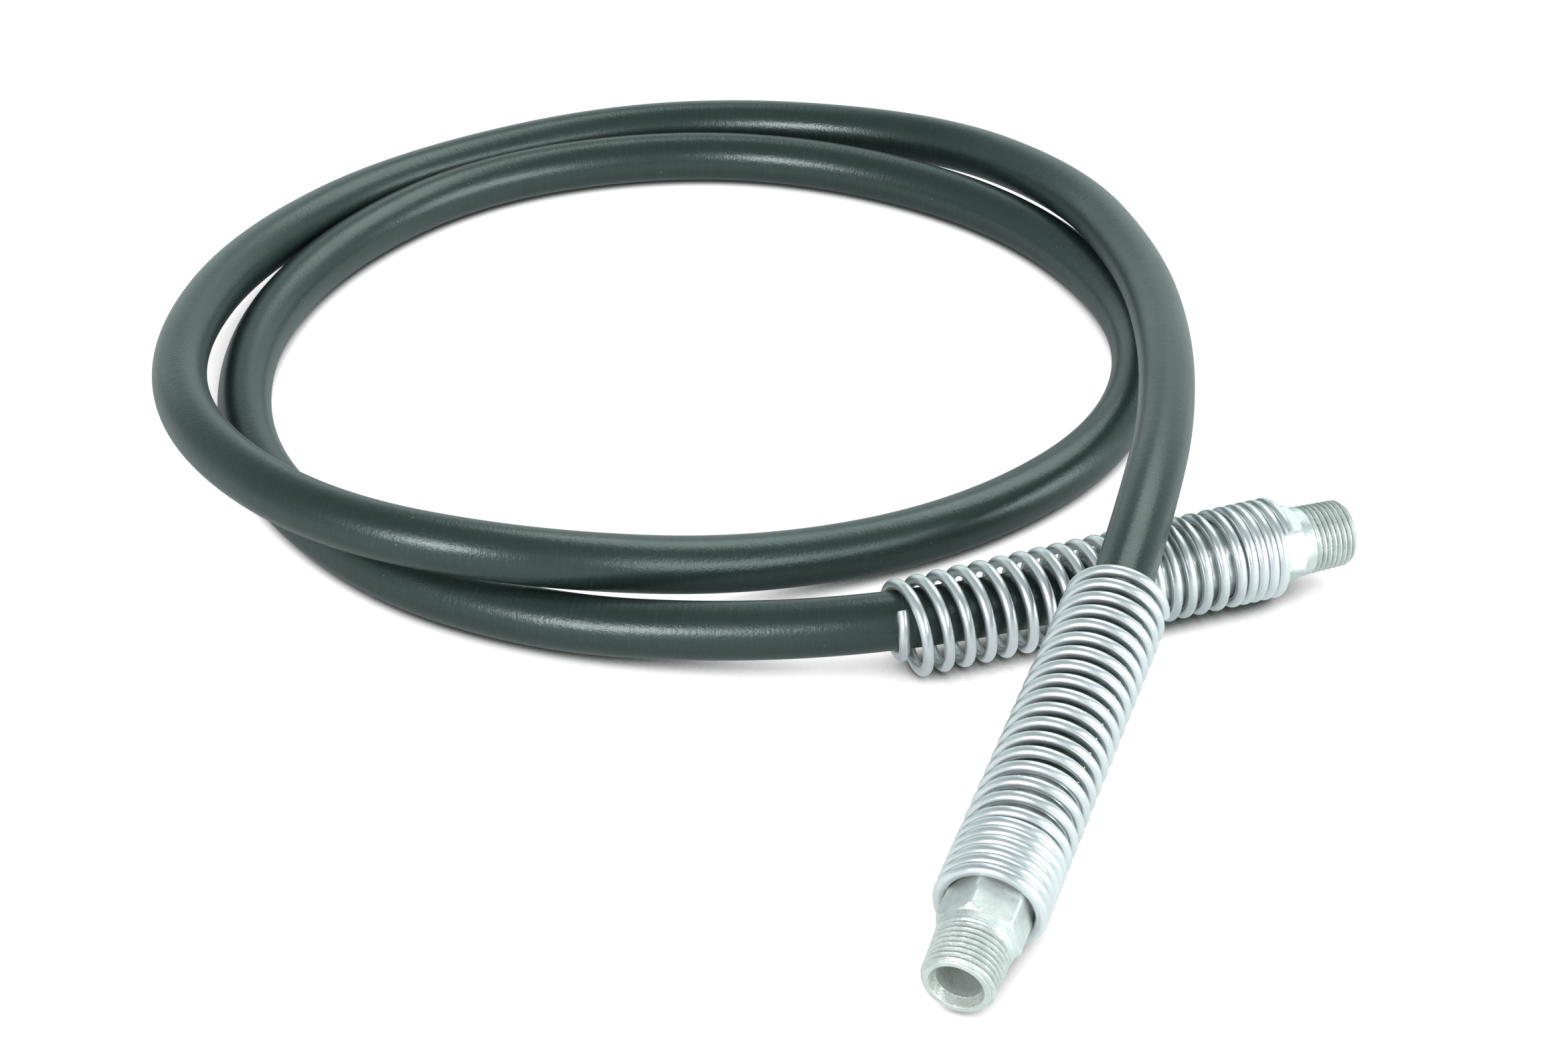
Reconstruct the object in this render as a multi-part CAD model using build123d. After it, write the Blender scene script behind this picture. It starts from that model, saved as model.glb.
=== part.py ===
from build123d import *
import math
import os

# Hydraulic jack hose assembly, millimetres, lying in a loose double loop on the ground.
# +Z is up, the ground is Z = 0, and the origin is the middle of the footprint.

# hose layers, from the bore outwards
hose_bore = 6.4
tube_wall = 1.5
braid_wall = 0.6
interlayer_wall = 0.3
hose_od = 14.5
bond_gap = 0.05

# route of the hose's centre line, from the near crimp to the far one
route = [
    (60.2, -180.0, 13.7),
    (73.4, -144.4, 19.4),
    (91.0, -97.4, 28.0),
    (103.0, -56.4, 34.7),
    (111.0, -19.4, 34.0),
    (115.8, 28.6, 30.0),
    (114.0, 81.6, 24.5),
    (99.4, 140.0, 19.0),
    (57.7, 192.5, 11.2),
    (-26.0, 209.0, 8.2),
    (-102.0, 171.2, 8.2),
    (-141.2, 109.5, 13.8),
    (-152.0, 43.4, 19.7),
    (-139.3, -10.5, 24.0),
    (-102.0, -53.1, 25.5),
    (-48.0, -68.9, 23.6),
    (9.0, -50.6, 9.3),
    (63.0, -27.7, 7.3),
    (104.5, 15.6, 7.3),
    (116.5, 73.6, 7.3),
    (91.5, 135.3, 7.3),
    (43.5, 173.6, 7.3),
    (-15.0, 187.6, 7.3),
    (-78.0, 169.6, 7.3),
    (-119.0, 122.7, 7.3),
    (-136.7, 65.1, 7.3),
    (-128.4, 3.4, 7.3),
    (-92.3, -46.9, 7.3),
    (-46.5, -71.8, 7.3),
    (3.0, -80.4, 10.0),
    (48.0, -80.4, 14.3),
    (92.0, -63.1, 13.0),
    (125.8, -50.4, 13.0),
]
arc_share = 0.45

# fitting, measured along its own axis from the middle of its hex, outwards positive
hex_flats = 17.46
hex_corner_d = 19.7
hex_back = -3.0
hex_front = 8.2
hex_chamfer = 1.2
near_hex_angle = 40.0
far_hex_angle = 10.0
collar_d = 17.6
thread_start = 11.2
thread_pitch = 25.4 / 18
thread_turns = 7
thread_small_d = 16.67
thread_taper = 1 / 16
thread_depth = 1.05
nose = 22.4
nose_face_d = 14.7
seat_d = 12.4
seat_depth = 2.2
counterbore_d = 10.3
counterbore_end = 18.2
nose_bore_d = 9.8
nose_bore_end = 7.0
drill_half_angle = 59.0
stem_bore_d = 4.4
stem_d = 6.2
stem_ridge_h = 0.35
stem_ridges = 7
stem_end = -34.0
groove_d = 9.0
shoulder_d = 12.0
shoulder_front = -5.4
hose_end = -8.0

# crimped ferrule
ferrule_d = 19.6
ferrule_front = -3.2
ferrule_back = -37.0
ferrule_lip = 1.8
ferrule_lip_d = 9.4
crimp_flats = 8
crimp_depth = 0.35
crimp_front = -9.5
crimp_back = -33.5

# spring guards: turns and pitch of each stretch from the mouth, where the wire starts round
# the axis, and how far the mouth stands beyond the middle of the hex
wire_d = 2.8
spring_od = 25.4
near_winding = [(5, 2.85), (18, 4.8)]
far_winding = [(4.25, 2.9), (8, 4.1), (10.5, 5.24)]
near_wire_angle = 198.0
far_wire_angle = 270.0
near_mouth = 0.0
far_mouth = 3.8

os.makedirs("parts", exist_ok=True)


def save(name, solid):
    solid.label = name
    export_step(solid, f"parts/{name}.step")


def corner_radii(points):
    radii = []
    for before, here, after in zip(points, points[1:], points[2:]):
        run_in = Vector(*here) - Vector(*before)
        run_out = Vector(*after) - Vector(*here)
        half_turn = math.radians(run_in.get_angle(run_out)) / 2
        shorter = min(run_in.length, run_out.length)
        radii.append(arc_share * shorter / math.tan(half_turn))
    return radii


def layer(path, inner_d, outer_d):
    start = Plane(origin=path @ 0, z_dir=path % 0)
    section = start * (Circle(outer_d / 2) - Circle(inner_d / 2))
    return sweep(section, path=path)


def end_plane(tip_point, next_point):
    """The plane in the middle of a fitting's hex, whose Z points out of the hose."""
    outward = (Vector(*tip_point) - Vector(*next_point)).normalized()
    return Plane(origin=Vector(*tip_point) + outward * -hose_end, z_dir=outward)


def ring_profile(points):
    return revolve(Plane.XZ * make_face(Polyline(*points, close=True)), Axis.Z)


def fitting(hex_angle):
    """Hex, taper thread, nose and hose stem, turned from one bar."""
    tip_crest = thread_start + thread_turns * thread_pitch
    nose_r = nose_face_d / 2
    outline = [(seat_d / 2, nose), (nose_r, nose)]
    for turn in range(thread_turns):
        crest = tip_crest - turn * thread_pitch
        radius = thread_small_d / 2 + (tip_crest - crest) * thread_taper / 2
        outline += [
            (radius, crest),
            (radius, crest - 0.15 * thread_pitch),
            (radius - thread_depth, crest - 0.55 * thread_pitch),
            (radius - thread_depth, crest - 0.65 * thread_pitch),
        ]
    outline += [
        (collar_d / 2, thread_start - 0.1),
        (collar_d / 2, hex_front),
        (hex_flats / 2 + 0.1, hex_front),
        (hex_corner_d / 2, hex_front - hex_chamfer),
        (hex_corner_d / 2, hex_back),
        (groove_d / 2, hex_back),
        (groove_d / 2, shoulder_front),
        (shoulder_d / 2, shoulder_front),
        (shoulder_d / 2, hose_end + 0.1),
        (stem_d / 2, hose_end + 0.1),
    ]
    ridge_run = (hose_end - stem_end - 2.0) / stem_ridges
    for ridge in range(stem_ridges):
        top = hose_end - 0.5 - ridge * ridge_run
        outline += [
            (stem_d / 2, top),
            (stem_d / 2 - stem_ridge_h, top - 0.4),
            (stem_d / 2, top - ridge_run + 0.2),
        ]
    outline += [(stem_d / 2 - 0.3, stem_end), (stem_bore_d / 2, stem_end)]
    drill_run = (nose_bore_d - stem_bore_d) / 2 / math.tan(math.radians(drill_half_angle))
    outline += [
        (stem_bore_d / 2, nose_bore_end - drill_run),
        (nose_bore_d / 2, nose_bore_end),
        (nose_bore_d / 2, counterbore_end),
        (counterbore_d / 2, counterbore_end),
        (counterbore_d / 2, nose - seat_depth),
    ]
    body = ring_profile(outline)
    flats = Pos(0, 0, hex_back) * extrude(
        RegularPolygon(hex_flats / 2, 6, major_radius=False), hex_front - hex_back
    )
    keep = flats + Pos(0, 0, hex_front) * extrude(Circle(20), nose - hex_front + 1)
    keep += Pos(0, 0, stem_end - 1) * extrude(Circle(20), hex_back - stem_end + 1)
    return Rot(0, 0, hex_angle) * (body & keep)


def ferrule():
    outer = ferrule_d / 2
    inner = hose_od / 2 + bond_gap
    body = ring_profile(
        [
            (ferrule_lip_d / 2, ferrule_front),
            (outer - 0.6, ferrule_front),
            (outer, ferrule_front - 0.6),
            (outer, ferrule_back + 0.5),
            (outer - 0.5, ferrule_back),
            (inner, ferrule_back),
            (inner, hose_end + 0.3),
            (shoulder_d / 2 + 0.2, hose_end + 0.3),
            (shoulder_d / 2 + 0.2, ferrule_front - ferrule_lip),
            (ferrule_lip_d / 2, ferrule_front - ferrule_lip),
        ]
    )
    flat = Pos(outer - crimp_depth + 1, 0, (crimp_front + crimp_back) / 2) * Box(
        2, ferrule_d, crimp_front - crimp_back
    )
    for turn in range(crimp_flats):
        body -= Rot(0, 0, turn * 360 / crimp_flats) * flat
    return body


def spring(winding, wire_angle, mouth_height):
    """A guard wound close over the crimp and open along the hose, right-handed."""
    mean_r = (spring_od - wire_d) / 2
    edges = []
    turned = 0.0
    risen = 0.0
    for turns, pitch in winding:
        stretch = Helix(pitch, turns * pitch, mean_r)
        edges += (Pos(0, 0, risen) * Rot(0, 0, 360 * turned) * stretch).edges()
        turned += turns
        risen += turns * pitch
    wire = Wire(edges)
    start = Plane(origin=wire @ 0, z_dir=wire % 0)
    coil = sweep(start * Circle(wire_d / 2), path=wire, is_frenet=True)
    return Pos(0, 0, mouth_height) * Rot(180, 0, wire_angle) * Pos(0, 0, wire_d / 2) * coil


path = FilletPolyline(*route, radius=corner_radii(route))
print("hose length", round(path.length, 1))
print("bend radii", [round(r) for r in corner_radii(route)])

tube_od = hose_bore + 2 * tube_wall
inner_braid_od = tube_od + 2 * braid_wall
interlayer_od = inner_braid_od + 2 * interlayer_wall
outer_braid_od = interlayer_od + 2 * braid_wall
layers = {
    "hose_inner_tube": (hose_bore, tube_od),
    "inner_wire_braid": (tube_od + 2 * bond_gap, inner_braid_od),
    "braid_interlayer": (inner_braid_od + 2 * bond_gap, interlayer_od),
    "outer_wire_braid": (interlayer_od + 2 * bond_gap, outer_braid_od),
    "hose_cover": (outer_braid_od + 2 * bond_gap, hose_od),
}
for name, (inner_d, outer_d) in layers.items():
    solid = layer(path, inner_d, outer_d)
    section_area = math.pi * (outer_d**2 - inner_d**2) / 4
    print(name, "volume over section x length", round(solid.volume / section_area / path.length, 4))
    save(name, solid)

near = end_plane(route[0], route[1])
far = end_plane(route[-1], route[-2])
save("near_end_fitting", near * fitting(near_hex_angle))
save("near_crimp_ferrule", near * ferrule())
save("near_spring_guard", near * spring(near_winding, near_wire_angle, near_mouth))
save("far_end_fitting", far * fitting(far_hex_angle))
save("far_crimp_ferrule", far * ferrule())
save("far_spring_guard", far * spring(far_winding, far_wire_angle, far_mouth))
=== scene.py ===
"""The looks of the hydraulic hose assembly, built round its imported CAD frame.

Places are in metres in the row's frame: +Z is up and the hose lies on Z = 0. The sizes of the
fittings, ferrules and guards are in millimetres until MM turns them into metres.
"""

import math

import bmesh
import bpy
import numpy as np
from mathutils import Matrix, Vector


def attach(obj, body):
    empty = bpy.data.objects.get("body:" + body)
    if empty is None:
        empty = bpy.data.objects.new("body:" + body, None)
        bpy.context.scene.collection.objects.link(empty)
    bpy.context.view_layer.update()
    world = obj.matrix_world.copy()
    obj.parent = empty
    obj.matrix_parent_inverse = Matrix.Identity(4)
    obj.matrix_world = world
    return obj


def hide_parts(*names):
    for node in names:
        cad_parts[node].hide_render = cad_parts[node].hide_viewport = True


MM = 0.001

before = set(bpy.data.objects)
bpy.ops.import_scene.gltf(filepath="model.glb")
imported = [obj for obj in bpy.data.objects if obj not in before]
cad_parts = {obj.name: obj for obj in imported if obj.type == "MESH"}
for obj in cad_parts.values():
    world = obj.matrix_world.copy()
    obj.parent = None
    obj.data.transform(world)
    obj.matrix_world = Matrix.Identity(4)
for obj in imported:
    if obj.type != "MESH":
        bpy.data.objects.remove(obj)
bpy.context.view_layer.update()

# ---------------------------------------------------------------- camera

camera_data = bpy.data.cameras.new("camera")
camera_data.lens = 73.89
camera_data.sensor_width = 36.0
camera_data.clip_end = 50.0
camera = bpy.data.objects.new("camera", camera_data)
camera.location = (0.0140, -0.7184, 0.4532)
camera.rotation_euler = (math.radians(57.16), 0.0, 0.0)
bpy.context.scene.collection.objects.link(camera)
bpy.context.scene.camera = camera

# ---------------------------------------------------------------- the hose's route

HOSE_D = 14.5 * MM

ROUTE = [
    (0.0602, -0.1800, 0.0137),
    (0.0734, -0.1444, 0.0194),
    (0.0910, -0.0974, 0.0280),
    (0.1030, -0.0564, 0.0347),
    (0.1110, -0.0194, 0.0340),
    (0.1158, 0.0286, 0.0300),
    (0.1140, 0.0816, 0.0245),
    (0.0994, 0.1400, 0.0190),
    (0.0577, 0.1925, 0.0112),
    (-0.0260, 0.2090, 0.0082),
    (-0.1020, 0.1712, 0.0082),
    (-0.1412, 0.1095, 0.0138),
    (-0.1520, 0.0434, 0.0197),
    (-0.1393, -0.0105, 0.0240),
    (-0.1020, -0.0531, 0.0255),
    (-0.0480, -0.0689, 0.0236),
    (0.0090, -0.0506, 0.0093),
    (0.0630, -0.0277, 0.0073),
    (0.1045, 0.0156, 0.0073),
    (0.1165, 0.0736, 0.0073),
    (0.0915, 0.1353, 0.0073),
    (0.0435, 0.1736, 0.0073),
    (-0.0150, 0.1876, 0.0073),
    (-0.0780, 0.1696, 0.0073),
    (-0.1190, 0.1227, 0.0073),
    (-0.1367, 0.0651, 0.0073),
    (-0.1284, 0.0034, 0.0073),
    (-0.0923, -0.0469, 0.0073),
    (-0.0465, -0.0718, 0.0073),
    (0.0030, -0.0804, 0.0100),
    (0.0480, -0.0804, 0.0143),
    (0.0920, -0.0631, 0.0130),
    (0.1258, -0.0504, 0.0130),
]


def read_route(places):
    """Points along the smooth line that has these places as its control points."""
    data = bpy.data.curves.new("hose_route", "CURVE")
    data.dimensions = "3D"
    data.resolution_u = 28
    spline = data.splines.new("NURBS")
    spline.points.add(len(places) - 1)
    for point, place in zip(spline.points, places):
        point.co = (*place, 1.0)
    spline.order_u = 3
    spline.use_endpoint_u = True
    holder = bpy.data.objects.new("hose_route", data)
    bpy.context.scene.collection.objects.link(holder)
    line = bpy.data.meshes.new_from_object(holder)
    points = np.array([vertex.co for vertex in line.vertices])
    bpy.data.objects.remove(holder)
    bpy.data.meshes.remove(line)
    return points


def distances(line):
    """How far along a line each of its points is."""
    steps = np.linalg.norm(np.diff(line, axis=0), axis=1)
    return np.concatenate([[0.0], np.cumsum(steps)])


hose_line = read_route(ROUTE)
hose_run = distances(hose_line)
print("hose line", len(hose_line), "points,", round(float(hose_run[-1]), 4), "m")

# ---------------------------------------------------------------- mesh code


def unit(vector):
    return np.asarray(vector, float) / np.linalg.norm(vector)


def turning_frames(line):
    """For each point of a line, two normals that don't twist about it."""
    tangent = np.gradient(line, axis=0)
    tangent /= np.linalg.norm(tangent, axis=1)[:, None]
    first = np.empty_like(line)
    first[0] = unit(np.cross(tangent[0], (0, 0, 1)))
    for i in range(1, len(line)):
        first[i] = unit(first[i - 1] - tangent[i] * first[i - 1].dot(tangent[i]))
    return first, np.cross(tangent, first)


def grid_object(name, points, u, v, slot, closed_rows=False, sharp=35.0):
    """An object from rows of points, each row a ring. u and v place the rows and the ring's points."""
    rows, columns = points.shape[:2]
    row_steps = rows if closed_rows else rows - 1
    r, c = np.meshgrid(np.arange(row_steps), np.arange(columns), indexing="ij")
    r_next, c_next = (r + 1) % rows, (c + 1) % columns
    corners = [(r, c), (r_next, c), (r_next, c_next), (r, c_next)]
    faces = np.stack([a * columns + b for a, b in corners], axis=-1).reshape(-1, 4).tolist()
    if not closed_rows:
        faces.append(list(range(columns)))
        faces.append(list(range(rows * columns - 1, (rows - 1) * columns - 1, -1)))
    mesh = bpy.data.meshes.new(name)
    mesh.from_pydata(points.reshape(-1, 3).tolist(), [], faces)
    layer = mesh.uv_layers.new(name="run_round")
    u_pair = np.stack([u[r], u[r + 1], u[r + 1], u[r]], axis=-1)
    v_pair = np.stack([v[c], v[c], v[c + 1], v[c + 1]], axis=-1)
    flat = np.stack([u_pair, v_pair], axis=-1).reshape(-1, 2)
    places = np.zeros((len(mesh.loops), 2))
    places[: len(flat)] = flat
    layer.data.foreach_set("uv", places.ravel())
    rebuilt = bmesh.new()
    rebuilt.from_mesh(mesh)
    bmesh.ops.recalc_face_normals(rebuilt, faces=rebuilt.faces)
    rebuilt.to_mesh(mesh)
    rebuilt.free()
    mesh.polygons.foreach_set("use_smooth", [True] * len(mesh.polygons))
    mesh.set_sharp_from_angle(angle=math.radians(sharp))
    made = bpy.data.objects.new(name, mesh)
    bpy.context.scene.collection.objects.link(made)
    mesh.materials.append(MATERIALS[slot])
    return made


def ring(first, second, centre, radius, angles):
    """Points round a centre, for arrays of centres and of radii."""
    outward = np.cos(angles)[None, :, None] * first[:, None, :]
    outward = outward + np.sin(angles)[None, :, None] * second[:, None, :]
    return centre[:, None, :] + np.asarray(radius)[..., None] * outward


# ---------------------------------------------------------------- materials

MATERIALS = {}


def start_material(slot):
    material = bpy.data.materials.new(slot)
    material.use_nodes = True
    nodes = material.node_tree.nodes
    MATERIALS[slot] = material
    return material.node_tree, nodes["Principled BSDF"]


def add(tree, kind, inputs=None, **settings):
    """A node with these settings and inputs; an input that is a socket is linked."""
    made = tree.nodes.new(kind)
    for key, value in settings.items():
        setattr(made, key, value)
    for key, value in (inputs or {}).items():
        if isinstance(value, bpy.types.NodeSocket):
            tree.links.new(value, made.inputs[key])
        else:
            made.inputs[key].default_value = value
    return made


def ramp(tree, factor, stops):
    """A colour ramp from (place, colour) pairs."""
    made = add(tree, "ShaderNodeValToRGB", {"Fac": factor})
    elements = made.color_ramp.elements
    while len(elements) < len(stops):
        elements.new(0.5)
    for element, (place, colour) in zip(elements, stops):
        element.position = place
        element.color = (*colour, 1.0)
    return made.outputs["Color"]


def spread(tree, value, low, high, to_low, to_high):
    """Maps low to high onto to_low to to_high, and holds it there beyond them."""
    inputs = {"Value": value, "From Min": low, "From Max": high, "To Min": to_low, "To Max": to_high}
    return add(tree, "ShaderNodeMapRange", inputs).outputs["Result"]


def maths(tree, operation, a, b):
    made = add(tree, "ShaderNodeMath", {0: a, 1: b}, operation=operation)
    return made.outputs["Value"]


def mix_colour(tree, factor, a, b):
    made = add(tree, "ShaderNodeMix", {"Factor": factor}, data_type="RGBA")
    for socket, value in ((made.inputs[6], a), (made.inputs[7], b)):
        if isinstance(value, bpy.types.NodeSocket):
            tree.links.new(value, socket)
        else:
            socket.default_value = (*value, 1.0)
    return made.outputs[2]


def noise(tree, place, scale, detail=3.0, roughness=0.5):
    inputs = {"Vector": place, "Scale": scale, "Detail": detail, "Roughness": roughness}
    return add(tree, "ShaderNodeTexNoise", inputs).outputs["Fac"]


def stretched(tree, place, scale):
    """Coordinates with their own scale along each axis."""
    return add(tree, "ShaderNodeMapping", {"Vector": place, "Scale": scale}).outputs["Vector"]


def bump(tree, height, distance, strength=1.0, below=None):
    """A bumped normal, laid over the one below if there is one."""
    inputs = {"Height": height, "Distance": distance, "Strength": strength}
    if below is not None:
        inputs["Normal"] = below
    return add(tree, "ShaderNodeBump", inputs).outputs["Normal"]


def rubber_cover():
    """Satin synthetic rubber with the fine cross ribs of its cure wrap, scuffs and specks of dust."""
    tree, shader = start_material("cover_rubber")
    coordinates = add(tree, "ShaderNodeTexCoord")
    solid, unrolled = coordinates.outputs["Object"], coordinates.outputs["UV"]
    clouds = noise(tree, solid, 30.0, 5.0, 0.6)
    base = ramp(tree, clouds, [(0.3, (0.0100, 0.0185, 0.0175)), (0.7, (0.0150, 0.0265, 0.0245))])
    ribs = noise(tree, stretched(tree, unrolled, (1250.0, 75.0, 1.0)), 1.0, 2.0, 0.5)
    pale = spread(tree, ribs, 0.52, 0.78, 0.0, 0.16)
    base = mix_colour(tree, pale, base, (0.060, 0.088, 0.082))
    dust = noise(tree, solid, 1100.0, 2.0)
    patches = noise(tree, solid, 70.0, 3.0)
    dusty = maths(tree, "ADD", dust, maths(tree, "MULTIPLY", patches, 0.2))
    specks = spread(tree, dusty, 0.845, 0.885, 0.0, 0.5)
    base = mix_colour(tree, specks, base, (0.22, 0.22, 0.16))
    tree.links.new(base, shader.inputs["Base Color"])
    scuffs = noise(tree, stretched(tree, unrolled, (25.0, 90.0, 1.0)), 1.0, 5.0, 0.6)
    tree.links.new(spread(tree, scuffs, 0.3, 0.7, 0.27, 0.36), shader.inputs["Roughness"])
    shader.inputs["Specular IOR Level"].default_value = 0.75
    shader.inputs["Specular Tint"].default_value = (0.84, 1.0, 0.98, 1.0)
    worn = spread(tree, noise(tree, unrolled, 22.0, 2.0), 0.4, 0.6, 0.35, 1.0)
    ribbed = bump(tree, maths(tree, "MULTIPLY", ribs, worn), 0.00010, 0.5)
    mottled = bump(tree, noise(tree, solid, 520.0, 3.0, 0.6), 0.00012, 0.45, ribbed)
    mottled = bump(tree, noise(tree, solid, 1500.0, 2.0, 0.6), 0.00010, 0.6, mottled)
    tree.links.new(mottled, shader.inputs["Normal"])


def inner_rubber():
    tree, shader = start_material("inner_rubber")
    place = add(tree, "ShaderNodeTexCoord").outputs["Object"]
    stops = [(0.3, (0.012, 0.012, 0.012)), (0.7, (0.022, 0.022, 0.022))]
    base = ramp(tree, noise(tree, place, 60.0), stops)
    tree.links.new(base, shader.inputs["Base Color"])
    shader.inputs["Roughness"].default_value = 0.5
    tree.links.new(bump(tree, noise(tree, place, 1200.0), 0.00003, 0.4), shader.inputs["Normal"])


def braid_wire():
    """Brassed steel strands crossing at the braid angle, with painted shade where the weave dips
    between them.
    """
    tree, shader = start_material("braid_wire")
    unrolled = add(tree, "ShaderNodeTexCoord").outputs["UV"]
    split = add(tree, "ShaderNodeSeparateXYZ", {0: unrolled})
    heights = []
    for way in (-1.0, 1.0):
        across = maths(tree, "MULTIPLY", split.outputs["Y"], way * 2 * math.pi * 24)
        along = maths(tree, "MULTIPLY", split.outputs["X"], 2 * math.pi * 700)
        lean = maths(tree, "ADD", along, across)
        heights.append(maths(tree, "SINE", lean, 0.0))
    weave = maths(tree, "MAXIMUM", *heights)
    # the colour darkens with the weave's depth: painted shade between the strands
    stops = [(0.2, (0.18, 0.15, 0.1)), (0.8, (0.62, 0.56, 0.42))]
    base = ramp(tree, spread(tree, weave, -1.0, 1.0, 0.0, 1.0), stops)
    tree.links.new(base, shader.inputs["Base Color"])
    shader.inputs["Metallic"].default_value = 1.0
    shader.inputs["Roughness"].default_value = 0.35
    tree.links.new(bump(tree, weave, 0.00015, 1.0), shader.inputs["Normal"])


def spring_wire():
    """Bright zinc on drawn wire: faint lines run along the wire."""
    tree, shader = start_material("spring_wire")
    coordinates = add(tree, "ShaderNodeTexCoord")
    solid, unrolled = coordinates.outputs["Object"], coordinates.outputs["UV"]
    lines = noise(tree, stretched(tree, unrolled, (60.0, 1500.0, 1.0)), 1.0, 3.0, 0.6)
    clouds = noise(tree, solid, 130.0, 4.0, 0.6)
    base = ramp(tree, clouds, [(0.3, (0.71, 0.73, 0.75)), (0.7, (0.80, 0.82, 0.84))])
    base = mix_colour(tree, spread(tree, lines, 0.55, 0.8, 0.0, 0.35), base, (0.50, 0.50, 0.51))
    tree.links.new(base, shader.inputs["Base Color"])
    shader.inputs["Metallic"].default_value = 0.87
    tree.links.new(spread(tree, clouds, 0.3, 0.7, 0.28, 0.36), shader.inputs["Roughness"])
    drawn = bump(tree, lines, 0.00002, 0.4)
    tree.links.new(bump(tree, clouds, 0.00015, 0.2, drawn), shader.inputs["Normal"])


def zinc(slot, colours, roughness, grain, metallic):
    """Clear zinc plate: grainy, with brown dust where the mesh says that it is recessed; in the bore
    that dust is also painted shade.
    """
    tree, shader = start_material(slot)
    place = add(tree, "ShaderNodeTexCoord").outputs["Object"]
    recess = add(tree, "ShaderNodeAttribute", attribute_name="recess").outputs["Fac"]
    clouds = noise(tree, place, 260.0, 5.0, 0.65)
    base = ramp(tree, clouds, [(0.3, colours[0]), (0.7, colours[1])])
    blots = spread(tree, noise(tree, place, 1500.0, 3.0, 0.7), 0.46, 0.66, 0.0, 0.8)
    dust = maths(tree, "MULTIPLY", blots, recess)
    base = mix_colour(tree, dust, base, (0.34, 0.31, 0.24))
    tree.links.new(base, shader.inputs["Base Color"])
    tree.links.new(spread(tree, dust, 0.0, 1.0, metallic, 0.1), shader.inputs["Metallic"])
    rough = spread(tree, clouds, 0.3, 0.7, roughness[0], roughness[1])
    rough = maths(tree, "ADD", rough, maths(tree, "MULTIPLY", dust, 0.3))
    tree.links.new(rough, shader.inputs["Roughness"])
    coarse = bump(tree, noise(tree, place, 1400.0, 3.0, 0.6), 0.00006 * grain, 0.5)
    fine = bump(tree, noise(tree, place, 3800.0, 2.0), 0.00003 * grain, 0.5, coarse)
    tree.links.new(fine, shader.inputs["Normal"])


rubber_cover()
inner_rubber()
braid_wire()
spring_wire()
zinc("zinc_fitting", ((0.53, 0.57, 0.55), (0.72, 0.76, 0.735)), (0.36, 0.48), 3.0, 0.65)
zinc("zinc_ferrule", ((0.58, 0.60, 0.59), (0.72, 0.74, 0.73)), (0.32, 0.44), 0.8, 0.85)

# ---------------------------------------------------------------- hose layers

# inner and outer diameter in millimetres, material and points round it
LAYERS = {
    "hose_inner_tube": (6.4, 9.4, "inner_rubber", 24),
    "inner_wire_braid": (9.5, 10.6, "braid_wire", 32),
    "braid_interlayer": (10.7, 11.2, "inner_rubber", 24),
    "outer_wire_braid": (11.3, 12.4, "braid_wire", 32),
    "hose_cover": (12.5, 14.5, "cover_rubber", 56),
}


def tube(name, inner_d, outer_d, slot, sides, line):
    """A closed hollow tube: out along the inner wall and back along the outer one."""
    run = distances(line)
    first, second = turning_frames(line)
    angles = np.linspace(0, 2 * math.pi, sides, endpoint=False)
    outer = ring(first, second, line, np.full((len(line), sides), outer_d / 2 * MM), angles)
    inner = ring(first, second, line, np.full((len(line), sides), inner_d / 2 * MM), angles)
    points = np.concatenate([outer, inner[::-1]])
    u = np.concatenate([run, run[::-1], run[:1]])
    v = np.linspace(0, math.pi * outer_d * MM, sides + 1)
    return grid_object(name, points, u, v, slot, closed_rows=True, sharp=60.0)


for node_name, (inner_d, outer_d, slot, sides) in LAYERS.items():
    if node_name == "hose_cover":
        layer_line = hose_line
    else:
        layer_line = np.concatenate([hose_line[::3][:-1], hose_line[-1:]])
    piece = tube(node_name.replace("hose_", "rubber_"), inner_d, outer_d, slot, sides, layer_line)
    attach(piece, "root")
    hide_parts(node_name)

# ---------------------------------------------------------------- the two ends

# where the hose's rubber ends, in millimetres from the middle of a fitting's hex
HOSE_END = -8.0


class End:
    """One end of the hose: where the middle of its hex is and which way it points."""

    def __init__(self, tip, before):
        self.out = unit(np.subtract(tip, before))
        self.origin = np.asarray(tip) - self.out * (HOSE_END * MM)
        self.side = unit(np.cross((0, 0, 1), self.out))
        self.up = np.cross(self.out, self.side)

    def place(self, height, radius, angle):
        """Points at these heights along the axis, radii and angles from the level side upwards."""
        height, radius, angle = np.broadcast_arrays(height, radius, angle)
        across = np.cos(angle)[..., None] * self.side + np.sin(angle)[..., None] * self.up
        return self.origin + height[..., None] * self.out + radius[..., None] * across


NEAR = End(ROUTE[0], ROUTE[1])
FAR = End(ROUTE[-1], ROUTE[-2])

# ---------------------------------------------------------------- fittings

# millimetres; heights are along the fitting's axis, from the middle of its hex outwards
HEX_FLATS = 17.46
HEX_CORNER_R = 9.85
HEX_FRONT = 8.2
HEX_CHAMFER = 1.2
HEX_BACK = -3.0
COLLAR_R = 8.8
THREAD_PITCH = 25.4 / 18
THREAD_START = 11.2
THREAD_END = THREAD_START + 7 * THREAD_PITCH
THREAD_SMALL_R = 16.67 / 2
THREAD_TAPER = 1 / 16
THREAD_DEPTH = 1.0
THREAD_STEP = THREAD_PITCH / 20
NOSE = 22.4
NOSE_R = 7.5
NOSE_EDGE = 0.15
SEAT_R = 6.2
SEAT_DEPTH = 2.2
BORE_MOUTH_R = 5.1
BORE_MOUTH = 18.2
BORE_R = 4.9
BORE_END = 7.0
DRILL_HALF_ANGLE = math.radians(59)
STEM_BORE_R = 2.2
STEM_R = 3.1
STEM_RIDGE_H = 0.35
STEM_RIDGES = 7
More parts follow.
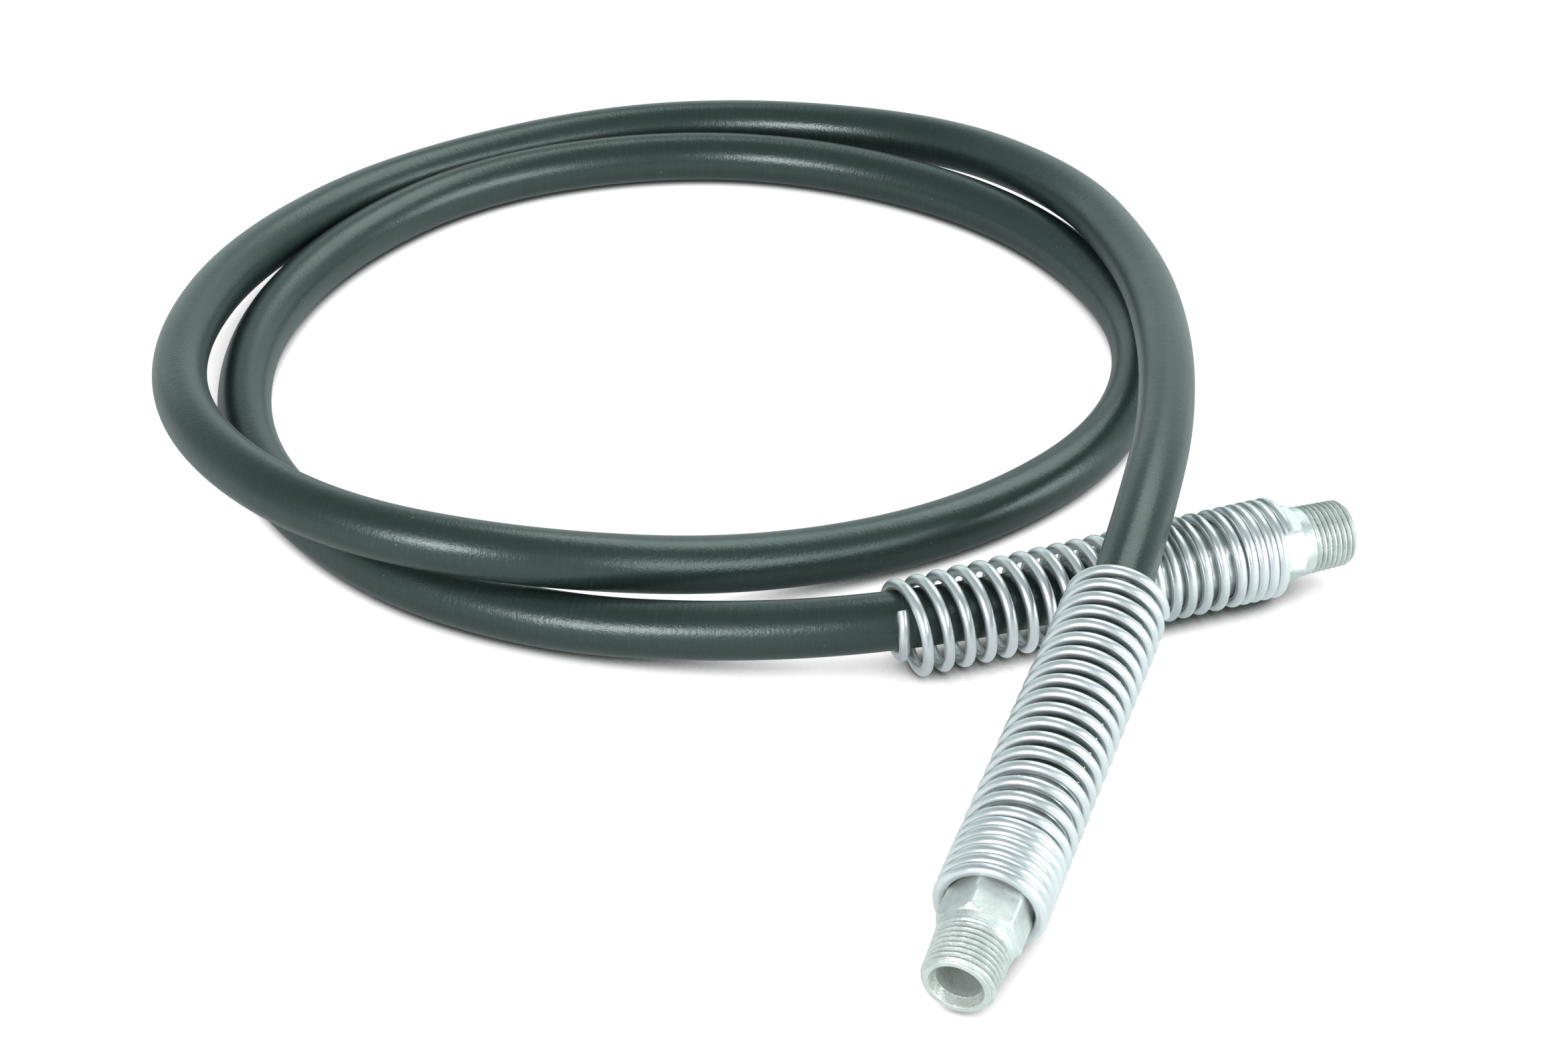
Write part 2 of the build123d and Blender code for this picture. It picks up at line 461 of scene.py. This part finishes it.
STEM_END = -34.0
SHOULDER_R = 6.0
SHOULDER_FRONT = -5.4
SHOULDER_BACK = -7.9
GROOVE_R = 4.5


class Turning:
    """A piece turned round an end's axis. Each of its rows has a radius at every angle."""

    def __init__(self, turn, columns):
        self.angle = turn + np.linspace(0, 2 * math.pi, columns, endpoint=False)
        self.heights = []
        self.radii = []
        self.recess = []

    def row(self, height, radius, recess=0.0):
        """Adds a row. recess says how far it lies in a groove or a pocket, for the dust there, which in
        the bore is also painted shade.
        """
        self.heights.append(height)
        self.radii.append(np.broadcast_to(radius, self.angle.shape))
        self.recess.append(np.broadcast_to(recess, self.angle.shape))

    def make(self, name, end, slot, sharp):
        heights = np.array(self.heights)[:, None] * MM
        radii = np.stack(self.radii) * MM
        points = end.place(heights, radii, self.angle[None, :])
        profile = np.stack([heights[:, 0], radii[:, 0]], axis=1)
        u = distances(np.concatenate([profile, profile[:1]]))
        v = np.linspace(0, 2 * math.pi * radii.max(), len(self.angle) + 1)
        piece = grid_object(name, points, u, v, slot, closed_rows=True, sharp=sharp)
        marks = piece.data.attributes.new("recess", "FLOAT", "POINT")
        marks.data.foreach_set("value", np.stack(self.recess).astype(np.float32).ravel())
        return piece


def turn_stem(work):
    """The ridged stem in the hose, the shoulder under the ferrule and the groove that locks it."""
    work.row(STEM_END, STEM_BORE_R)
    work.row(STEM_END, STEM_R - 0.3)
    ridge_run = (HOSE_END - STEM_END - 2.0) / STEM_RIDGES
    for ridge in reversed(range(STEM_RIDGES)):
        top = HOSE_END - 0.5 - ridge * ridge_run
        work.row(top - ridge_run + 0.25, STEM_R - 0.02)
        work.row(top - 0.4, STEM_R - STEM_RIDGE_H)
        work.row(top, STEM_R)
    work.row(SHOULDER_BACK, STEM_R)
    work.row(SHOULDER_BACK, SHOULDER_R)
    work.row(SHOULDER_FRONT, SHOULDER_R)
    work.row(SHOULDER_FRONT, GROOVE_R)
    work.row(HEX_BACK, GROOVE_R)


def turn_hex(work, turn):
    """The hex, with its back edge broken and its front corners turned down to the collar."""
    sixth = math.pi / 3
    flats = HEX_FLATS / 2 / np.cos((work.angle - turn) % sixth - sixth / 2)
    work.row(HEX_BACK, np.minimum(flats, HEX_CORNER_R - 0.55))
    work.row(HEX_BACK + 0.4, np.minimum(flats, HEX_CORNER_R))
    for height in np.arange(HEX_BACK + 1.0, HEX_FRONT - HEX_CHAMFER, 1.0):
        work.row(height, np.minimum(flats, HEX_CORNER_R))
    for share in np.linspace(0, 1, 13):
        cone = HEX_CORNER_R + (COLLAR_R - HEX_CORNER_R) * share
        work.row(HEX_FRONT - HEX_CHAMFER * (1 - share), np.minimum(flats, cone), 0.25 * share)


def thread(height, angle):
    """A right-hand taper thread's radius and groove: V grooves that run out against the collar."""
    root_share = 0.06
    flank_share = 0.36
    crest = THREAD_SMALL_R + (THREAD_END - height) * THREAD_TAPER / 2
    turn = (height / THREAD_PITCH - angle / (2 * math.pi)) % 1.0
    flank = np.clip((np.abs(turn - 0.5) - root_share) / flank_share, 0.0, 1.0)
    run_out = np.clip((height - THREAD_START + 1.2) / 2.0, 0.0, 1.0)
    recess = (1.0 - flank) * run_out
    return np.minimum(crest - THREAD_DEPTH * recess, COLLAR_R), recess


def turn_thread(work):
    """The collar, the thread and the cone that its last turn is cut to."""
    run_out_start = THREAD_START - 1.3
    for height in np.arange(HEX_FRONT + 0.3, run_out_start, 0.3):
        work.row(height, COLLAR_R, 0.05)
    for height in np.arange(run_out_start, THREAD_END + 0.02, THREAD_STEP):
        work.row(height, *thread(height, work.angle))
    cone_r = THREAD_SMALL_R + 0.05
    cone_top = NOSE - NOSE_EDGE
    for height in np.arange(THREAD_END + 0.03, cone_top, THREAD_STEP):
        radius, recess = thread(height, work.angle)
        share = (height - THREAD_END) / (cone_top - THREAD_END)
        work.row(height, np.minimum(radius, cone_r + (NOSE_R - cone_r) * share), recess * 0.5)


def turn_nose(work):
    """The nose's face, the cone seat in it and the bore down to the stem."""
    work.row(NOSE - NOSE_EDGE, NOSE_R, 0.1)
    work.row(NOSE, NOSE_R - NOSE_EDGE, 0.1)
    work.row(NOSE, SEAT_R + NOSE_EDGE, 0.15)
    work.row(NOSE - 0.08, SEAT_R, 0.5)
    for share in np.linspace(0.1, 0.95, 8):
        work.row(NOSE - SEAT_DEPTH * share, SEAT_R - share, 0.95)
    work.row(NOSE - SEAT_DEPTH, BORE_MOUTH_R + 0.07, 0.7)
    work.row(NOSE - SEAT_DEPTH - 0.2, BORE_MOUTH_R + 0.03, 0.3)
    # the bore's recess darkens it with dust that is also painted shade deep in the hole
    for height in np.arange(BORE_MOUTH, BORE_END, -1.4):
        share = (height - BORE_END) / (BORE_MOUTH - BORE_END)
        work.row(height, BORE_R + (BORE_MOUTH_R - BORE_R) * share, 0.45)
    work.row(BORE_END, BORE_R, 0.6)
    work.row(BORE_END - (BORE_R - STEM_BORE_R) / math.tan(DRILL_HALF_ANGLE), STEM_BORE_R, 0.3)


def fitting(name, end, turn):
    """Hose stem, hex, collar, taper thread, nose, seat and bore as one turned surface."""
    work = Turning(turn, columns=180)
    turn_stem(work)
    turn_hex(work, turn)
    turn_thread(work)
    turn_nose(work)
    return work.make(name, end, "zinc_fitting", sharp=20.0)


# ---------------------------------------------------------------- ferrules

FERRULE_R = 9.8
FERRULE_INNER_R = 7.3
FERRULE_FRONT = -3.2
FERRULE_BACK = -37.0
FERRULE_LIP = 1.8
FERRULE_LIP_R = 4.7
FRONT_ROUND = 0.6
CRIMP_LANDS = 8
CRIMP_DEPTH = 0.35
CRIMP_FRONT = -9.0
CRIMP_BACK = -34.0


def ferrule(name, end):
    """A crimped sleeve with pressed lands, which start and end over a millimetre."""
    work = Turning(0.0, columns=160)
    land = 2 * math.pi / CRIMP_LANDS
    pressed = (FERRULE_R - CRIMP_DEPTH) / np.cos(work.angle % land - land / 2)
    pressed = np.minimum(FERRULE_R, pressed)
    work.row(FERRULE_FRONT, FERRULE_LIP_R)
    work.row(FERRULE_FRONT, FERRULE_R - FRONT_ROUND)
    for share in np.linspace(0.1, 1.0, 5):
        drop = FRONT_ROUND * math.sqrt(1 - share**2)
        work.row(FERRULE_FRONT - FRONT_ROUND * share, FERRULE_R - drop)
    for height in np.arange(-4.5, CRIMP_FRONT, -1.0):
        work.row(height, FERRULE_R)
    for share in np.linspace(0, 1, 5):
        work.row(CRIMP_FRONT - share, pressed * share + FERRULE_R * (1 - share))
    for height in np.arange(CRIMP_FRONT - 2.0, CRIMP_BACK + 1.0, -1.0):
        work.row(height, pressed)
    for share in np.linspace(1, 0, 5):
        work.row(CRIMP_BACK + share, pressed * share + FERRULE_R * (1 - share))
    work.row(FERRULE_BACK + 0.5, FERRULE_R)
    work.row(FERRULE_BACK, FERRULE_R - 0.5)
    work.row(FERRULE_BACK, FERRULE_INNER_R)
    work.row(HOSE_END + 0.3, FERRULE_INNER_R)
    work.row(HOSE_END + 0.3, SHOULDER_R + 0.2)
    work.row(FERRULE_FRONT - FERRULE_LIP, SHOULDER_R + 0.2)
    work.row(FERRULE_FRONT - FERRULE_LIP, FERRULE_LIP_R)
    return work.make(name, end, "zinc_ferrule", sharp=32.0)


end_pieces = {}
for word, end, hex_turn in (("near", NEAR, 40.0), ("far", FAR, 10.0)):
    made = fitting(word + "_zinc_fitting", end, math.radians(hex_turn))
    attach(made, "root")
    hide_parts(word + "_end_fitting")
    sleeve = ferrule(word + "_zinc_ferrule", end)
    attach(sleeve, "root")
    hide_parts(word + "_crimp_ferrule")
    end_pieces[word] = [made, sleeve]

# ---------------------------------------------------------------- spring guards

WIRE_D = 2.8 * MM
CUT_ROUND = 0.18 * MM
NEAR_MOUTH = 1.0 * MM
FAR_MOUTH = 4.1 * MM
FAR_SAG = 0.7 * MM
FAR_HUG = (22.05, 22.55)

# pairs of a turn, counted from the mouth, and the pitch or the outer diameter there in millimetres
NEAR_PITCHES = [(0, 2.82), (5.8, 2.82), (6.3, 4.8), (23.6, 4.8)]
NEAR_WIDTHS = [(0, 25.2), (0.8, 25.4), (5.8, 25.4), (23.6, 25.2)]
FAR_WIDTHS = [(0, 25.2), (5, 25.2), (23, 24.6)]
FAR_CLOSED = [(0, 2.85), (4.55, 2.85)]
FAR_OPEN = [(4.8, 4.7), (6, 4.6), (7, 4.4), (8, 4.1), (9, 3.95), (9.5, 4.6), (12, 4.6), (12.6, 4.95)]
FAR_WIDE = [(16.3, 4.95), (16.6, 5.47), (22.2, 5.47)]
FAR_TAIL = [(22.3, 1.6), (22.66, 1.6), (22.72, 8), (22.84, 8), (22.89, -4), (23.0, -4)]


def hugged_middle(end, height):
    """The middle of the hose beside each height along an end's axis."""
    last_stretch = 0.14
    held = hose_line[hose_run > hose_run[-1] - last_stretch]
    held = held[np.argsort((held - end.origin) @ end.out)]
    level = (held - end.origin) @ end.out
    return np.stack([np.interp(height, level, held[:, k]) for k in range(3)], axis=1)


def spring(name, end, mouth, start, pitches, widths, sag=0.0, hug=None):
    """A right-hand coil from its mouth inwards.

    sag is how far its free end drops below the fitting's axis, and hug the two turns between which
    the wire closes in on the hose.
    """
    steps_a_turn = 56
    sides = 22
    total = pitches[-1][0]
    turns = np.linspace(0, total, int(total * steps_a_turn) + 1)
    pitch = np.interp(turns, *zip(*pitches)) * MM
    rise = np.concatenate([[0.0], np.cumsum((pitch[1:] + pitch[:-1]) / 2 * np.diff(turns))])
    radius = np.interp(turns, *zip(*widths)) * MM / 2 - WIRE_D / 2
    angle = start - 2 * math.pi * turns
    height = mouth - WIRE_D / 2 - rise
    centre = end.origin + height[:, None] * end.out
    centre[:, 2] -= sag * rise / rise[-1]
    if hug:
        share = np.clip((turns - hug[0]) / (hug[1] - hug[0]), 0.0, 1.0)
        share = share * share * (3 - 2 * share)
        centre = centre + (hugged_middle(end, height) - centre) * share[:, None]
        on_the_hose = HOSE_D / 2 + WIRE_D / 2 + 0.1 * MM
        radius = radius * (1 - share) + on_the_hose * share
    across = np.cos(angle)[:, None] * end.side + np.sin(angle)[:, None] * end.up
    coil = centre + radius[:, None] * across
    tangent = np.gradient(coil, axis=0)
    tangent /= np.linalg.norm(tangent, axis=1)[:, None]
    second = np.cross(tangent, across)
    second /= np.linalg.norm(second, axis=1)[:, None]
    first = np.cross(second, tangent)
    # the cut ends are slightly rounded
    starting = coil[:1] + tangent[:1] * CUT_ROUND
    ending = coil[-1:] - tangent[-1:] * CUT_ROUND
    coil = np.concatenate([coil[:1], starting, coil[1:-1], ending, coil[-1:]])
    first = np.concatenate([first[:1], first, first[-1:]])
    second = np.concatenate([second[:1], second, second[-1:]])
    thickness = np.full((len(coil), sides), WIRE_D / 2)
    thickness[[0, -1]] -= CUT_ROUND
    angles = np.linspace(0, 2 * math.pi, sides, endpoint=False)
    points = ring(first, second, coil, thickness, angles)
    u = distances(coil)
    v = np.linspace(0, math.pi * WIRE_D, sides + 1)
    return grid_object(name, points, np.append(u, u[-1]), v, "spring_wire", sharp=40.0)


near_spring = spring(
    "near_wire_guard",
    NEAR,
    NEAR_MOUTH,
    math.radians(210.0),
    NEAR_PITCHES,
    NEAR_WIDTHS,
)
far_spring = spring(
    "far_wire_guard",
    FAR,
    FAR_MOUTH,
    math.radians(132.0),
    FAR_CLOSED + FAR_OPEN + FAR_WIDE + FAR_TAIL,
    FAR_WIDTHS,
    sag=FAR_SAG,
    hug=FAR_HUG,
)
for word, piece in (("near", near_spring), ("far", far_spring)):
    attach(piece, "root")
    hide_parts(word + "_spring_guard")
    end_pieces[word].append(piece)

# ---------------------------------------------------------------- stage and light


def stage_floor():
    """A plain floor. The camera sees it white by its own glow, with painted shade where the object
    nearly closes it in.
    """
    material = bpy.data.materials.new("floor")
    material.use_nodes = True
    tree = material.node_tree
    tree.nodes.clear()
    # ambient occlusion darkens the glowing colour that the camera sees: painted shade, not the lamps'
    # shadow; bounced light meets a pale diffuse floor
    closed_in = add(tree, "ShaderNodeAmbientOcclusion", {"Distance": 0.018}, samples=16).outputs["AO"]
    seen_colour_with_painted_shade = ramp(tree, closed_in, [(0.18, (0.03, 0.04, 0.035)), (0.44, (1.0, 1.0, 1.0))])
    seen = add(tree, "ShaderNodeEmission", {"Color": seen_colour_with_painted_shade, "Strength": 1.05}).outputs["Emission"]
    lit = add(tree, "ShaderNodeBsdfDiffuse", {"Color": (0.86, 0.88, 0.87, 1.0)}).outputs["BSDF"]
    camera_ray = add(tree, "ShaderNodeLightPath").outputs["Is Camera Ray"]
    shade = add(tree, "ShaderNodeMixShader", {0: camera_ray, 1: lit, 2: seen}).outputs["Shader"]
    output = add(tree, "ShaderNodeOutputMaterial")
    tree.links.new(shade, output.inputs["Surface"])
    mesh = bpy.data.meshes.new("floor")
    reach = 8.0
    corners = [(-reach, -reach, 0), (reach, -reach, 0), (reach, reach, 0), (-reach, reach, 0)]
    mesh.from_pydata(corners, [], [(0, 1, 2, 3)])
    mesh.materials.append(material)
    floor = bpy.data.objects.new("floor", mesh)
    bpy.context.scene.collection.objects.link(floor)


def area_light(name, place, target, size, power, colour):
    data = bpy.data.lights.new(name, "AREA")
    data.shape = "RECTANGLE"
    data.size, data.size_y = size
    data.energy = power
    data.color = colour
    light = bpy.data.objects.new(name, data)
    light.location = place
    aim = Vector(target) - Vector(place)
    light.rotation_euler = aim.to_track_quat("-Z", "Y").to_euler()
    bpy.context.scene.collection.objects.link(light)


stage_floor()
area_light("left_key", (-0.68, -1.27, 0.68), (0, -0.05, 0), (0.60, 0.46), 14.0, (1.0, 0.94, 1.0))
area_light("right_softbox", (1.50, -0.75, 0.55), (0.05, 0, 0.02), (1.9, 0.9), 25.0, (0.94, 0.98, 1.0))
area_light("back_softbox", (0.64, 1.11, 1.53), (0, 0, 0), (1.4, 1.0), 12.5, (0.92, 1.0, 0.98))
area_light("back_sweep", (0.0, 2.4, 0.65), (0, 0, 0.3), (5.0, 1.2), 8.0, (0.88, 1.0, 0.97))


def soft_sky(low, high, colour):
    """Soft light from all round, stronger at the horizon than overhead."""
    world = bpy.data.worlds.new("world")
    world.use_nodes = True
    tree = world.node_tree
    way = add(tree, "ShaderNodeTexCoord").outputs["Generated"]
    height = add(tree, "ShaderNodeSeparateXYZ", {0: way}).outputs["Z"]
    background = tree.nodes["Background"]
    background.inputs["Color"].default_value = (*colour, 1.0)
    tree.links.new(spread(tree, height, 0.0, 0.9, low, high), background.inputs["Strength"])
    bpy.context.scene.world = world


soft_sky(0.75, 0.38, (0.82, 1.0, 0.97))
bpy.context.scene.view_settings.view_transform = "Standard"
